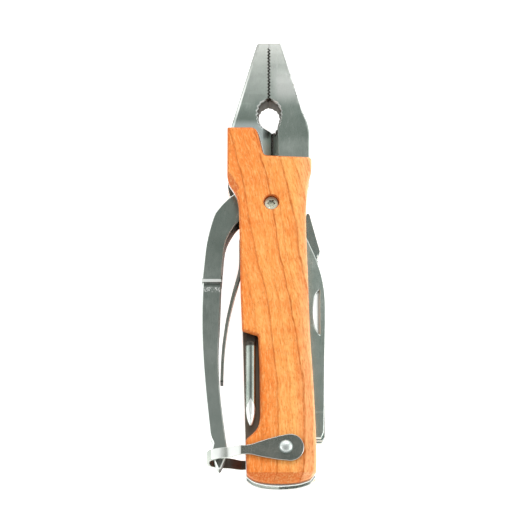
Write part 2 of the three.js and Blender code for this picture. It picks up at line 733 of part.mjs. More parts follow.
const dividerShape = outline([
  [1.9, -37.5],
  [13.1, -37.5],
  ...handleRight(false).filter(([, y]) => y < -38 && y > -98).map(([x, y]) => [x - 0.3, y]),
  ...smooth([[13.4, -99.9], [9.8, -101.5], [3.2, -102.2]], 4),
  [3.2, -94],
  [1.9, -86],
]);
const divider = cut(
  plate(dividerShape, -DIVIDER_HALF, DIVIDER_HALF),
  ...backSpringPins.map((at) => rod(at, 1.1, -9, 9)),
  rod(BLADE_PIVOT, PIN_RADIUS + HOLE_CLEARANCE, -9, 9),
  rod(RIVET, PIN_RADIUS + HOLE_CLEARANCE, -9, 9),
);
add("front_divider", divider.translate([0, 0, DIVIDER_Z]), sheetSteel);
add("rear_divider", divider.translate([0, 0, -DIVIDER_Z]), sheetSteel);

// ---------------------------------------------------------------- the screwdriver in the front scale

const [driverX, driverY] = DRIVER_PIVOT;
const driverShaft = new THREE.LatheGeometry(
  vectors([
    [0, DRIVER_TIP_Y],
    [0.4, DRIVER_TIP_Y + 0.1],
    [0.95, DRIVER_TIP_Y + 1.4],
    [1.38, DRIVER_TIP_Y + 2.9],
    [1.65, DRIVER_TIP_Y + 4.4],
    [DRIVER_RADIUS, DRIVER_TIP_Y + 5.8],
    [DRIVER_RADIUS, DRIVER_SHAFT_Y - 0.4],
    [DRIVER_RADIUS - 0.3, DRIVER_SHAFT_Y],
    [0, DRIVER_SHAFT_Y],
  ]),
  28,
);
driverShaft.translate(driverX, 0, DRIVER_Z);

/** One of the four flutes of the cross point: a vee that is deepest at the tip. */
function flute(quarter) {
  const vee = new THREE.ExtrudeGeometry(outline([[0.35, 0], [4, -2.3], [4, 2.3]]), {
    depth: 14,
    bevelEnabled: false,
  });
  vee.rotateY(0.2).rotateZ((quarter * Math.PI) / 2).rotateX(-Math.PI / 2);
  return solid(vee.translate(driverX, DRIVER_TIP_Y - 0.3, DRIVER_Z));
}

const driverTang = join(
  rod(DRIVER_PIVOT, 2.3, ...DRIVER_TANG),
  block([driverX - 1.6, DRIVER_SHAFT_Y - 0.5, DRIVER_TANG[0]], [driverX + 1.6, driverY, DRIVER_TANG[1]]),
);
let driver = join(solid(driverShaft), driverTang);
driver = cut(driver, rod(DRIVER_PIVOT, driverPinRadius + HOLE_CLEARANCE, 0, 20));
for (let quarter = 0; quarter < 4; quarter++) driver = cut(driver, flute(quarter));
add("phillips_driver", driver, bladeSteel);
add(
  "driver_pin",
  turned(DRIVER_PIVOT, [
    [0, LINER_IN],
    [driverPinRadius, LINER_IN],
    [driverPinRadius, DRIVER_TANG[1] + 0.1],
    [1.7, DRIVER_TANG[1] + 0.1],
    [1.5, DRIVER_TANG[1] + 0.7],
    [0, DRIVER_TANG[1] + 0.8],
  ]),
  fastenerSteel,
);

// ---------------------------------------------------------------- the latch over the lever's end

/** Half of the strap's side view: down off the ear, out over the lever and round its back. */
const strapHalf = [
  [14, EAR_Z],
  [0, EAR_Z],
  ...smooth([[-10.3, EAR_Z], [-11.2, EAR_Z - 0.35], [-12.2, EAR_Z - 1.1]], 4),
  ...smooth([[-14, EAR_Z - 2.6], [-14.9, EAR_Z - 3.2], [-16, EAR_Z - 3.5]], 4),
  ...smooth([[-17.6, EAR_Z - 3.9], [-19.4, 6.4], [-21.1, 5], [-22.1, 3.2], [BIGHT_X, 1]], 8),
];
const strapLine = [...strapHalf, ...strapHalf.map(([x, z]) => [x, -z]).reverse()];
const strapProfile = new THREE.ExtrudeGeometry(ribbon(strapLine, STRAP), {
  depth: 14,
  bevelEnabled: false,
});
strapProfile.rotateX(Math.PI / 2).translate(0, -84.5, 0);

const latchPlan = outline([
  ...smooth([[-23.5, -94.35], [-14, -94.1], [-8, -93.75], [-3.4, -94.7], [2.5, -95.75]], 14),
  ...arc(EAR_CENTRE, EAR_RADIUS, -104, 104, 22),
  ...smooth([[2.5, -87.2], [-3.4, -88.9], [-8, -90.35], [-14, -90.4], [-23.5, -90.45]], 14),
]);
const latch = solid(strapProfile).intersect(plate(latchPlan, -20, 20));
add("latch_bail", cut(latch, rod(RIVET, PIN_RADIUS + 0.15, -20, 20)), sheetSteel);

const headFoot = EAR_Z + STRAP / 2 + 0.12;
const rivetHead = [
  [2.5, headFoot],
  [2.38, headFoot + 0.42],
  [2.05, headFoot + 0.78],
  [1.55, headFoot + 1.04],
  [1, headFoot + 1.19],
  [0.5, headFoot + 1.26],
];
add(
  "latch_rivet",
  turned(RIVET, [
    [0, -headFoot - 1.28],
    ...rivetHead.map(([r, z]) => [r, -z]).reverse(),
    [PIN_RADIUS, -rivetHead[0][1]],
    [PIN_RADIUS, rivetHead[0][1]],
    ...rivetHead,
    [0, headFoot + 1.28],
  ]),
  fastenerSteel,
);

// ---------------------------------------------------------------- the part's own frame

const bounds = new THREE.Box3().setFromObject(pliers);
const middle = bounds.getCenter(new THREE.Vector3());
pliers.position.set(-middle.x, -middle.y, -bounds.min.z);

export default pliers;
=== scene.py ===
"""Looks of the fishing pliers: camera, light, materials and fine shape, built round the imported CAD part."""

import math

import bmesh
import bpy
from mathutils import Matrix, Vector


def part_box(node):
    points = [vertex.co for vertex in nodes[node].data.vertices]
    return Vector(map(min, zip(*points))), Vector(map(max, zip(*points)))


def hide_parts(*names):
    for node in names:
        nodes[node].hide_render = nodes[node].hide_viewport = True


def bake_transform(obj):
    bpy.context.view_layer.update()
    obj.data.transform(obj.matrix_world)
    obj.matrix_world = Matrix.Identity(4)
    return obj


MM = 0.001

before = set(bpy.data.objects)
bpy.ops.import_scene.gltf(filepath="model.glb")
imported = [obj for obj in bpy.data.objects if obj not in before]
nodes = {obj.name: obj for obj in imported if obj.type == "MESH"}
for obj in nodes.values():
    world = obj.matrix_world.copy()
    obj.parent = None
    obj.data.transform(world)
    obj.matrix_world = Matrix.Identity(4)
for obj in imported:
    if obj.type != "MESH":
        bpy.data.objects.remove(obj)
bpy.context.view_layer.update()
leaf_low, leaf_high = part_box("lever_spring")
scene = bpy.context.scene

# ---------------------------------------------------------------- camera

CAMERA_ELEVATION = math.radians(72.4)
CAMERA_DISTANCE = 1.2
CAMERA_LENS = 226.2
CAMERA_SENSOR = 36
CAMERA_TARGET = Vector((0.0006, -0.00035, 0.0131))

camera_data = bpy.data.cameras.new("camera")
camera_data.lens = CAMERA_LENS
camera_data.sensor_width = CAMERA_SENSOR
camera_data.clip_start = 0.05
camera_data.clip_end = 50
camera = bpy.data.objects.new("camera", camera_data)
scene.collection.objects.link(camera)
towards = Vector((0, -math.cos(CAMERA_ELEVATION), math.sin(CAMERA_ELEVATION)))
camera.location = CAMERA_TARGET + CAMERA_DISTANCE * towards
camera.rotation_euler = (-towards).to_track_quat("-Z", "Y").to_euler()
scene.camera = camera
scene.view_settings.view_transform = "Standard"

# ---------------------------------------------------------------- node trees

# How far a patch of a look fades at its edge, in millimetres.
PATCH_FADE = 0.1


class Tree:
    """A short way to write shader nodes: a method adds its nodes and returns the last output socket."""

    def __init__(self, tree):
        self.tree = tree

    def node(self, kind, **settings):
        made = self.tree.nodes.new(kind)
        for name, value in settings.items():
            setattr(made, name, value)
        return made

    def feed(self, socket, value):
        if isinstance(value, bpy.types.NodeSocket):
            self.tree.links.new(value, socket)
        else:
            socket.default_value = value

    def math(self, operation, *values):
        made = self.node("ShaderNodeMath", operation=operation)
        for socket, value in zip(made.inputs, values):
            self.feed(socket, value)
        return made.outputs[0]

    def chain(self, operation, first, *others):
        """The operation over all the values, from left to right."""
        for other in others:
            first = self.math(operation, first, other)
        return first

    def times(self, *values):
        return self.chain("MULTIPLY", *values)

    def largest(self, *values):
        return self.chain("MAXIMUM", *values)

    def absolute(self, value):
        return self.math("ABSOLUTE", value)

    def vector(self, operation, a, b):
        made = self.node("ShaderNodeVectorMath", operation=operation)
        self.feed(made.inputs[0], a)
        self.feed(made.inputs[1], b)
        return made.outputs[0]

    def split(self, vector):
        made = self.node("ShaderNodeSeparateXYZ")
        self.feed(made.inputs[0], vector)
        return made.outputs[0], made.outputs[1], made.outputs[2]

    def combine(self, x, y, z):
        made = self.node("ShaderNodeCombineXYZ")
        for socket, value in zip(made.inputs, (x, y, z)):
            self.feed(socket, value)
        return made.outputs[0]

    def noise(self, vector, scale, detail, roughness):
        made = self.node("ShaderNodeTexNoise")
        self.feed(made.inputs["Vector"], vector)
        self.feed(made.inputs["Scale"], scale)
        self.feed(made.inputs["Detail"], detail)
        self.feed(made.inputs["Roughness"], roughness)
        return made.outputs["Fac"]

    def streaks(self, vector, scales, detail, roughness):
        """Noise with its own scale along each axis, as brushed lines and wood fibres have."""
        return self.noise(self.vector("MULTIPLY", vector, scales), 1, detail, roughness)

    def spread(self, value, low, high, to_low=0.0, to_high=1.0, smooth=False):
        """value from low to high, mapped to to_low to to_high and held there outside."""
        made = self.node("ShaderNodeMapRange", clamp=True)
        made.interpolation_type = "SMOOTHSTEP" if smooth else "LINEAR"
        for socket, number in zip(made.inputs, (value, low, high, to_low, to_high)):
            self.feed(socket, number)
        return made.outputs[0]

    def ease(self, value, low, high, top=1.0):
        """value from low to high, mapped to 0 to top with soft ends."""
        return self.spread(value, low, high, 0, top, True)

    def band(self, value, ends, smooth=False):
        """1 inside a band and 0 outside it. Its four ends say where it starts, is full, fades and stops."""
        start, full, fade, stop = ends
        rise = self.spread(value, start, full, smooth=smooth)
        fall = self.spread(value, stop, fade, smooth=smooth)
        return self.times(rise, fall)

    def near(self, value, middle, reach):
        """1 within reach of the middle and 0 past it."""
        offset = self.absolute(self.math("SUBTRACT", value, middle))
        return self.spread(offset, reach + PATCH_FADE, reach)

    def patch(self, place, middle, reach):
        """1 on a rectangle of the front view and 0 round it. Its middle and reach are in X and Y."""
        x, y, _ = self.split(place)
        return self.times(self.near(x, middle[0], reach[0]), self.near(y, middle[1], reach[1]))

    def mix(self, share, a, b):
        made = self.node("ShaderNodeMix", data_type="RGBA")
        made.clamp_factor = True
        self.feed(made.inputs[0], share)
        self.feed(made.inputs[6], a)
        self.feed(made.inputs[7], b)
        return made.outputs[2]

    def bump(self, height, distance, strength):
        made = self.node("ShaderNodeBump")
        self.feed(made.inputs["Strength"], strength)
        self.feed(made.inputs["Distance"], distance)
        self.feed(made.inputs["Height"], height)
        return made.outputs["Normal"]

    def place(self):
        """The point on the part at rest, in millimetres in the row frame."""
        made = self.node("ShaderNodeTexCoord")
        return self.vector("MULTIPLY", made.outputs["Object"], (1 / MM, 1 / MM, 1 / MM))

    def normal(self):
        """How far the surface faces right, up the tool and out of the front scale, each from -1 to 1."""
        made = self.node("ShaderNodeTexCoord")
        return self.split(made.outputs["Normal"])


def linear(red, green, blue):
    """A display colour, 0 to 255, as a shader's linear colour."""

    def one(value):
        value /= 255
        return value / 12.92 if value <= 0.04045 else ((value + 0.055) / 1.055) ** 2.4

    return (one(red), one(green), one(blue), 1)


def new_material(name):
    material = bpy.data.materials.new(name)
    material.use_nodes = True
    return material, Tree(material.node_tree), material.node_tree.nodes["Principled BSDF"]


# ---------------------------------------------------------------- where the metals' looks show

# Places are in millimetres in the row frame. A patch is its middle and its reach in X and Y, and a band
# is where it starts, is full, fades and stops. A range is where a look starts and is full, and then how
# strong it is, where that isn't 1: at its full end, or at both ends.
MIDDLE_Z = 13.1
TOOTH_SEAM_X = 2.015
TOOTH_REACH = 0.9
TOOTH_ROW = (60.85, 61.05)
CUTTER_SEAM = ((3.155, 40.85), (0.3, 10.0))
CUTTER_NOTCH = ((4.65, 49.4), (0.55, 1.2))
CUTTER_GROUND = ((5.155, 40.85), (2.0, 10.0))
CUTTER_SHARE = 0.5
PIPE_GRIP = ((2.0, 56.0), (5.2, 5.2))
GREY_TIPS = (58.0, 82.0, 0, 0.85)
JAW_TIP_WALLS = (81.5, 81.0)
RIGHT_HIGHLIGHT_Y = (58, 66, 68, 75)
RIGHT_HIGHLIGHT_X = (2.5, 6.0, 0.6)
SHOULDER_SHADE_Y = (43, 48, 57, 64)
SHOULDER_SHADE_SHARE = 0.55
CUTTER_REFLECTION_LOW = (30, 34)
CUTTER_REFLECTION_HIGH = (54, 51)
CUTTER_REFLECTION_X = (3.0, 0.0, 0.7)
DULL_EDGES_LOW = (36, 34)
DULL_EDGES_HIGH = (52, 58, 0.15, 1)
DARK_BOW = (-6, 6, 26, 30)
BOW_SHARE = 0.6
LEVER_END = (-22, -66, 0, 0.7)
LEVER_STEP = (-11.65, -11.15, -9.75, -9.35)
POCKET_TOP = (-78, -76)
TANG = (-33.65, -33.05)
DRIVER_X = -4.445
POINT_TOP_Y = -52.65
LEAF_END_Y = leaf_low.y / MM
LEAF_END_DARK_Y = (LEAF_END_Y + 0.7, LEAF_END_Y + 0.3)
NAIL_NICK = ((19.5, -19.65), (1.9, 9.2))
KICK_Y = -56.5
KICK_REACH = 0.1
KICK_SHARE = 0.35

# Slopes: 1 faces out of the front or the rear scale, and 0 is square to that.
WALL_SLOPE = (0.32, 0.1)
TOOTH_SLOPE = (0.985, 0.95)
GROUND_SLOPE = (0.3, 0.34, 0.66, 0.69)
# The edges' bright wear and painted highlight show on these slopes.
EDGE_WEAR_AND_HIGHLIGHT_SLOPE = (0.665, 0.7, 0.95, 0.98)
POCKET_SLOPE = (0.96, 0.99)
RECESS_SLOPE = (0.4, 0.2)
RIM_SLOPE = (0.9, 0.66, 0.85)
NICK_SLOPE = (0.6, 0.4)
# A wall that faces away from the seam between the jaws is an outer wall. This is the facing times the
# distance from the seam, from an outer to an inner wall.
INNER_WALL = (1.0, 0.2)
# The same for the latch's strap, with the distance from the middle of the tool's thickness.
INSIDE_STRAP = (-0.3, -2.0)

# Each of these functions says how much of a look shows, from 0 to 1, at a place on a surface with that
# facing out of the front scale.


def forged_oxide_and_shade(tree, place, facing):
    """Dark forge oxide and painted shade on the forging's inner walls, and painted shadow between the teeth
    and in the wire cutter's seam and notch.
    """
    x, y, _ = tree.split(place)
    slope = tree.absolute(facing)
    outward = tree.times(tree.normal()[0], tree.math("SUBTRACT", x, TOOTH_SEAM_X))
    below_tip = tree.spread(y, *JAW_TIP_WALLS)
    walls = tree.times(tree.ease(slope, *WALL_SLOPE), tree.spread(outward, *INNER_WALL), below_tip)
    beside_teeth = tree.times(tree.near(x, TOOTH_SEAM_X, TOOTH_REACH), tree.spread(y, *TOOTH_ROW))
    teeth = tree.times(tree.spread(slope, *TOOTH_SLOPE), beside_teeth)
    return tree.largest(walls, teeth, tree.patch(place, *CUTTER_SEAM), tree.patch(place, *CUTTER_NOTCH))


def cutter_bevel_and_grip_highlight(tree, place, facing):
    """The ground slope at the right of the wire cutter's seam, brightened further by a painted highlight, and
    a painted highlight on the rim of the pipe grip.
    """
    ground = tree.band(tree.absolute(facing), GROUND_SLOPE)
    cutter = tree.times(ground, tree.patch(place, *CUTTER_GROUND), CUTTER_SHARE)
    return tree.largest(cutter, tree.times(ground, tree.patch(place, *PIPE_GRIP)))


def right_jaw_highlight(tree, place, facing):
    """A painted highlight that makes the steel brighter on the right jaw."""
    x, y, _ = tree.split(place)
    return tree.times(tree.band(y, RIGHT_HIGHLIGHT_Y, smooth=True), tree.ease(x, *RIGHT_HIGHLIGHT_X))


def end_tone(tree, place, facing):
    """The paler steel on the straight end of the lever."""
    return tree.spread(tree.split(place)[1], *LEVER_END)


def tip_tone(tree, place, facing):
    """The greyer steel towards the tips of the jaws."""
    return tree.spread(tree.split(place)[1], *GREY_TIPS)


def shoulder_shade(tree, place, facing):
    """Painted shade that darkens the steel beside the pipe grip."""
    return tree.times(tree.band(tree.split(place)[1], SHOULDER_SHADE_Y, smooth=True), SHOULDER_SHADE_SHARE)


def cutter_reflection(tree, place, facing):
    """A painted reflection that makes the steel paler at the left of the wire cutter and above the front
    scale.
    """
    x, y, _ = tree.split(place)
    level = tree.times(tree.ease(y, *CUTTER_REFLECTION_HIGH), tree.spread(y, *CUTTER_REFLECTION_LOW))
    return tree.times(level, tree.ease(x, *CUTTER_REFLECTION_X))


def bow_tone(tree, place, facing):
    """The darker steel on the bowed top of the lever."""
    return tree.times(tree.band(tree.split(place)[1], DARK_BOW), BOW_SHARE)


def shoulder_edge_highlight(tree, place, facing):
    """The jaws' edges carry less of their bright wear and painted highlight below the pipe grip."""
    y = tree.split(place)[1]
    return tree.largest(tree.spread(y, *DULL_EDGES_HIGH), tree.spread(y, *DULL_EDGES_LOW))


def strap_inner_shade(tree, place, facing):
    """Painted shade inside the latch's strap."""
    z = tree.split(place)[2]
    inward = tree.times(facing, tree.math("SUBTRACT", z, MIDDLE_Z))
    return tree.ease(inward, *INSIDE_STRAP)


def pocket_shade(tree, place, facing):
    """Painted shade on the liner's face where it is the floor of the screwdriver's pocket."""
    y = tree.split(place)[1]
    return tree.times(tree.spread(facing, *POCKET_SLOPE), tree.spread(y, *POCKET_TOP))


def tang_shadow(tree, place, facing):
    """Painted shadow on the screwdriver's flat tang, where the pocket's top shades it."""
    return tree.spread(tree.split(place)[1], *TANG)


def point_highlight(tree, place, facing):
    """The ground petals of the screwdriver's cross point, painted as a bright highlight in leaves that end
    along the shaft.
    """
    x, y, _ = tree.split(place)
    off_axis = tree.absolute(tree.math("SUBTRACT", x, DRIVER_X))
    half_width = tree.times(tree.math("SUBTRACT", POINT_TOP_Y, y), 0.5)
    return tree.spread(tree.math("SUBTRACT", half_width, off_axis), -PATCH_FADE, PATCH_FADE)


def leaf_end_dark(tree, place, facing):
    """Darker colour at the free end of the lever's leaf spring."""
    return tree.spread(tree.split(place)[1], *LEAF_END_DARK_Y)


def kick_shine(tree, place, facing):
    """The line where the ground blade meets its foot."""
    return tree.times(tree.near(tree.split(place)[1], KICK_Y, KICK_REACH), KICK_SHARE)


def recess_shade(tree, place, facing):
    """Painted shade on the walls of the screw's recess."""
    return tree.spread(tree.absolute(facing), *RECESS_SLOPE)


def rim_shade(tree, place, facing):
    """A darker ring of painted shade where the rivet's dome meets the latch."""
    return tree.ease(tree.absolute(facing), *RIM_SLOPE)


def nick_shade(tree, place, facing):
    """Painted shade on the steep side of the nail nick."""
    return tree.times(tree.spread(tree.absolute(facing), *NICK_SLOPE), tree.patch(place, *NAIL_NICK))


# ---------------------------------------------------------------- metals

# The bright colour of worn edges, ground facets and scuffs, and of the painted highlights.
BRIGHT_WEAR_AND_HIGHLIGHT = linear(238, 241, 238)
# Scales of the noises, to a millimetre, and the part of each noise that its look runs over.
BLOTCH_SCALE = 0.16
GRAIN_SCALE = 7
CHIP_SCALE = 2.2
SCUFF_SCALES = (0.9, 0.22, 0.9)
TONE_RANGE = (0.36, 0.64)
SCUFF_RANGE = (0.6, 0.74)
CHIP_RANGE = (0.5, 0.62)
GRAIN_RANGE = (0.3, 0.7)
# How much of the tone comes from the brushed lines. The blotches give the rest.
LINE_SHARE = 0.45
SKIN_AND_SHADE_SHARE = 0.92
ROUGHNESS_SWING = 0.05
ROUGHNESS_ADDED = 0.2
STEEL_RELIEF = 0.004
STEEL_BUMP = 0.8


def steel(
    name,
    dark,
    light,
    roughness,
    brush,
    scuffs=0.25,
    edges=0.9,
    skin_and_shade=None,
    shine=None,
    worn_rows=None,
    tones=(),
    edge_highlight_share=None,
):
    """Satin steel whose bright edges are partly worn metal and partly a painted highlight. brush holds the
    fine lines to a millimetre along X, Y and Z.
    skin_and_shade is a dark colour and where it is laid: forge oxide in part, painted shade in most places.
    shine says where the steel is painted bright, for ground bevels and lines and as a painted highlight.
    worn_rows is a band of Y with bright marks, and tones are more colours and where they show; some of them
    are painted highlight, reflection and shade.
    edge_highlight_share says how much of the edges' bright wear and painted highlight is left.
    """
    material, tree, shader = new_material(name)
    place = tree.place()
    facing = tree.normal()[2]
    lines = tree.streaks(place, brush, 3, 0.65)
    blotches = tree.noise(place, BLOTCH_SCALE, 3, 0.55)
    grain = tree.noise(place, GRAIN_SCALE, 2, 0.6)
    marks = tree.streaks(place, SCUFF_SCALES, 5, 0.7)
    tone = tree.math("ADD", tree.times(lines, LINE_SHARE), tree.times(blotches, 1 - LINE_SHARE))
    colour = tree.mix(tree.spread(tone, *TONE_RANGE), dark, light)
    for tone_colour, tone_place in tones:
        colour = tree.mix(tone_place(tree, place, facing), colour, tone_colour)

    # Bright edges, picked by slope: partly worn metal, partly a painted highlight.
    edge = tree.times(tree.band(tree.absolute(facing), EDGE_WEAR_AND_HIGHLIGHT_SLOPE), edges)
    if edge_highlight_share:
        edge = tree.times(edge, edge_highlight_share(tree, place, facing))
    wear_and_highlight = tree.largest(tree.times(tree.spread(marks, *SCUFF_RANGE), scuffs), edge)
    if worn_rows:
        chips = tree.spread(tree.noise(place, CHIP_SCALE, 2, 0.6), *CHIP_RANGE)
        wear_and_highlight = tree.largest(wear_and_highlight, tree.times(tree.band(tree.split(place)[1], worn_rows), chips))
    if shine:
        wear_and_highlight = tree.largest(wear_and_highlight, shine(tree, place, facing))
    colour = tree.mix(wear_and_highlight, colour, BRIGHT_WEAR_AND_HIGHLIGHT)

    rough = tree.spread(grain, *GRAIN_RANGE, roughness - ROUGHNESS_SWING, roughness + ROUGHNESS_SWING)
    rough = tree.math("ADD", rough, tree.times(wear_and_highlight, ROUGHNESS_ADDED))
    # A dark colour laid over the steel: forge oxide on the jaws' walls, and painted shade and shadow in most
    # other places.
    if skin_and_shade:
        dark_colour, dark_place = skin_and_shade
        share = dark_place(tree, place, facing)
        colour = tree.mix(tree.times(share, SKIN_AND_SHADE_SHARE), colour, dark_colour)
        rough = tree.math("ADD", rough, tree.times(share, ROUGHNESS_ADDED))
    tree.feed(shader.inputs["Base Color"], colour)
    shader.inputs["Metallic"].default_value = 1.0
    tree.feed(shader.inputs["Roughness"], rough)
    height = tree.math("ADD", lines, tree.times(grain, 0.5))
    tree.feed(shader.inputs["Normal"], tree.bump(height, STEEL_RELIEF * MM, STEEL_BUMP))
    return material


forged_steel = steel(
    "forged_steel",
    linear(142, 154, 146),
    linear(174, 184, 176),
    roughness=0.32,
    brush=(5, 0.5, 5),
    edges=0.75,
    # The forging's inner walls get dark oxide and painted shade, and the teeth gaps and the cutter's seam and
    # notch get painted shadow.
    skin_and_shade=(linear(66, 57, 48), forged_oxide_and_shade),
    # The cutter's ground slope and the pipe grip's rim carry a painted highlight.
    shine=cutter_bevel_and_grip_highlight,
    worn_rows=LEVER_STEP,
    tones=(
        (linear(150, 151, 147), tip_tone),
        # Painted shade beside the pipe grip.
        (linear(112, 126, 117), shoulder_shade),
        # Painted reflection at the left of the wire cutter and above the front scale.
        (linear(204, 216, 214), cutter_reflection),
        # Painted highlight on the right jaw.
        (linear(206, 209, 205), right_jaw_highlight),
        (linear(186, 198, 190), end_tone),
        (linear(122, 134, 125), bow_tone),
    ),
    edge_highlight_share=shoulder_edge_highlight,
)
blade_steel = steel(
    "blade_steel",
    linear(172, 190, 179),
    linear(202, 216, 207),
    roughness=0.3,
    brush=(7, 0.35, 7),
    # The nick's steep side is painted shade.
    skin_and_shade=(linear(140, 146, 142), nick_shade),
    shine=kick_shine,
)
scaler_steel = steel(
    "scaler_steel",
    linear(136, 150, 143),
    linear(166, 178, 171),
    roughness=0.3,
    brush=(7, 0.35, 7),
)
driver_steel = steel(
    "driver_steel",
    linear(160, 174, 164),
    linear(196, 206, 196),
    roughness=0.22,
    brush=(4, 0.6, 4),
    edges=0.0,
    # The tang's dark colour is painted shadow.
    skin_and_shade=(linear(62, 52, 44), tang_shadow),
    # The cross point's petals are a painted highlight.
    shine=point_highlight,
)
latch_steel = steel(
    "latch_steel",
    linear(156, 167, 158),
    linear(196, 201, 190),
    roughness=0.24,
    brush=(0.6, 6, 6),
    scuffs=0.15,
    edges=0.7,
    # The inside of the strap is painted shade.
    skin_and_shade=(linear(74, 60, 50), strap_inner_shade),
)
liner_steel = steel(
    "liner_steel",
    linear(204, 212, 206),
    linear(228, 232, 228),
    roughness=0.28,
    brush=(6, 0.4, 6),
    # The pocket floor's dark colour is painted shade.
    skin_and_shade=(linear(104, 88, 72), pocket_shade),
)
spring_steel = steel(
    "spring_steel",
    linear(138, 146, 136),
    linear(174, 180, 170),
    roughness=0.3,
    brush=(5, 0.4, 5),
    skin_and_shade=(linear(50, 50, 46), leaf_end_dark),
)
fastener_steel = steel(
    "fastener_steel",
    linear(160, 166, 142),
    linear(208, 212, 190),
    roughness=0.3,
    brush=(3, 3, 3),
    scuffs=0.1,
)
screw_steel = steel(
    "screw_steel",
    linear(196, 202, 180),
    linear(230, 234, 214),
    roughness=0.5,
    brush=(3, 3, 3),
    scuffs=0.1,
    # The recess walls are painted shade.
    skin_and_shade=(linear(60, 58, 44), recess_shade),
)
rivet_steel = steel(
    "rivet_steel",
    linear(206, 216, 212),
    linear(236, 242, 238),
    roughness=0.42,
    brush=(2, 2, 2),
    scuffs=0.3,
    edges=0.0,
    # The rivet's darker rim is painted shade.
    skin_and_shade=(linear(112, 122, 120), rim_shade),
)

# ---------------------------------------------------------------- wood

# The grain leans across the handle from its top and runs straight along its butt.
GRAIN_LEAN = 0.19
GRAIN_TURN = -50.0
GRAIN_SOFT = 8.0
# Below the front face the rings shift sideways, and everywhere they wander.
FRONT_FACE_Z = 23.55
DEPTH_SHIFT = 0.35
WANDER_SCALES = (0.05, 0.03, 0.05)
WANDER = 1.6
# Nearly all values of a noise lie in this range, so a shift made from one is full at its ends.
NOISE_RANGE = (0.2, 0.8)
# Edges of the annual rings: place across the grain, half width of the dark line, strength.
RINGS = (
    (-5.2, 0.5, 0.35),
    (0.0, 0.4, 0.3),
    (5.5, 0.32, 0.75),
    (10.0, 0.25, 0.3),
    (14.4, 0.34, 0.95),
    (17.2, 0.22, 0.4),
    (21.6, 0.34, 0.8),
    (26.5, 0.3, 0.5),
    (31.0, 0.3, 0.5),
)
# A ring darkens over this distance before its edge, and its line is ragged and fades out.
RING_RISE = 4.2
RING_STOP = (-0.6, 0.2)
LINE_FADE = 1.7
RAGGED_SCALES = (1.6, 0.22, 1.6)
RAGGED = 0.45
BROKEN_SCALES = (1.2, 0.35, 1.2)
BROKEN_LINES = (0.35, 0.6, 0.35, 1.0)
RING_SHARE = 0.5
RING_LINE_SHARE = 0.9
# Scales of the figure, to a millimetre.
BAND_SCALES = (0.22, 0.012, 0.22)
FIBRE_SCALES = (2.2, 0.3, 2.2)
FIGURE_SCALES = (0.05, 0.13, 0.05)
PORE_SCALES = (2.1, 0.7, 2.1)
FLECK_SCALES = (1.9, 0.8, 1.9)
# The range of each noise over which its figure shows, and how strong it is at its full end or at both.
BANDS = (0.32, 0.68)
FIGURE = (0.5, 0.72, 0.4)
DARK_FIBRES = (0.5, 0.66, 0, 0.72)
PALE_FIBRES = (0.49, 0.32, 0, 0.6)
PORES = (0.54, 0.7, 0, 0.45)
FLECKS = (0.53, 0.7, 0, 0.4)
FIBRE_ROUGHNESS = (0.3, 0.7, 0.42, 0.56)
# Where the wood is painted: X of the left side's shade, of the pocket's darker side and of the right side's
# highlight, and Y of the pocket and of the butt, in the same way.
LEFT_SHADE_X = (1.0, -7.0, 0.6)
POCKET_SIDE_X = (7.0, 1.0)
POCKET_SIDE_Y = (-30, -37, 0.75)
RIGHT_GLOW_X = (10.5, 17.0, 0.6)
RIGHT_EDGE_X = (12.5, 14.5)
RIGHT_EDGE_Y = (-82.5, -80.5)
# Slopes turned away from the front get painted shade, and the right edge above the butt gets the painted
# highlight.
TURNED_AWAY_SLOPE = (0.985, 0.8, 0.75)
WOOD_RELIEF = 0.04
WOOD_BUMP = 0.7

PALE = linear(255, 184, 102)
WARM = linear(248, 158, 76)
DEEP = linear(222, 112, 42)
# Painted shade on the left side of the wood.
LEFT_SHADE = linear(240, 126, 44)
RING_LINE = linear(178, 82, 6)
# Painted shade on the wood's slopes and rounded edges.
SLOPE_SHADE = linear(190, 84, 20)
# Painted highlight on the wood's right side and right edge.
RIGHT_GLOW = linear(250, 188, 140)
PALE_FIBRE = linear(255, 204, 132)
PALE_FLECK = linear(255, 206, 132)


def across_grain(tree, place):
    """Distance across the grain: X, shifted by the grain's lean, by depth and by a slow wander."""
    x, y, z = tree.split(place)
    along = tree.math("MAXIMUM", tree.math("SUBTRACT", y, GRAIN_TURN), 0.0)
    bend = tree.math("SQRT", tree.math("ADD", tree.times(along, along), GRAIN_SOFT**2))
    lean = tree.times(tree.math("SUBTRACT", bend, GRAIN_SOFT), GRAIN_LEAN)
    depth = tree.times(tree.math("SUBTRACT", FRONT_FACE_Z, z), DEPTH_SHIFT)
    wander = tree.spread(tree.streaks(place, WANDER_SCALES, 2, 0.5), *NOISE_RANGE, -WANDER, WANDER)
    return tree.math("ADD", tree.math("ADD", x, lean), tree.math("ADD", depth, wander))


def ring_marks(tree, across, fibre_place):
    """The annual rings' dark late wood, and the thin line at the edge of each ring."""
    rings = 0.0
    lines = 0.0
    ragged = tree.spread(tree.streaks(fibre_place, RAGGED_SCALES, 3, 0.6), *NOISE_RANGE, -RAGGED, RAGGED)
    for ring_place, half_width, strength in RINGS:
        before = tree.math("SUBTRACT", ring_place, across)
        late = tree.times(tree.ease(before, RING_RISE, 0.0), tree.ease(before, *RING_STOP))
        rings = tree.math("ADD", rings, tree.times(late, strength))
        offset = tree.absolute(tree.math("ADD", before, ragged))
        nearness = tree.ease(offset, half_width * LINE_FADE, 0.0)
        lines = tree.math("ADD", lines, tree.times(nearness, strength))
    broken = tree.streaks(fibre_place, BROKEN_SCALES, 3, 0.6)
    return rings, tree.times(lines, tree.spread(broken, *BROKEN_LINES))


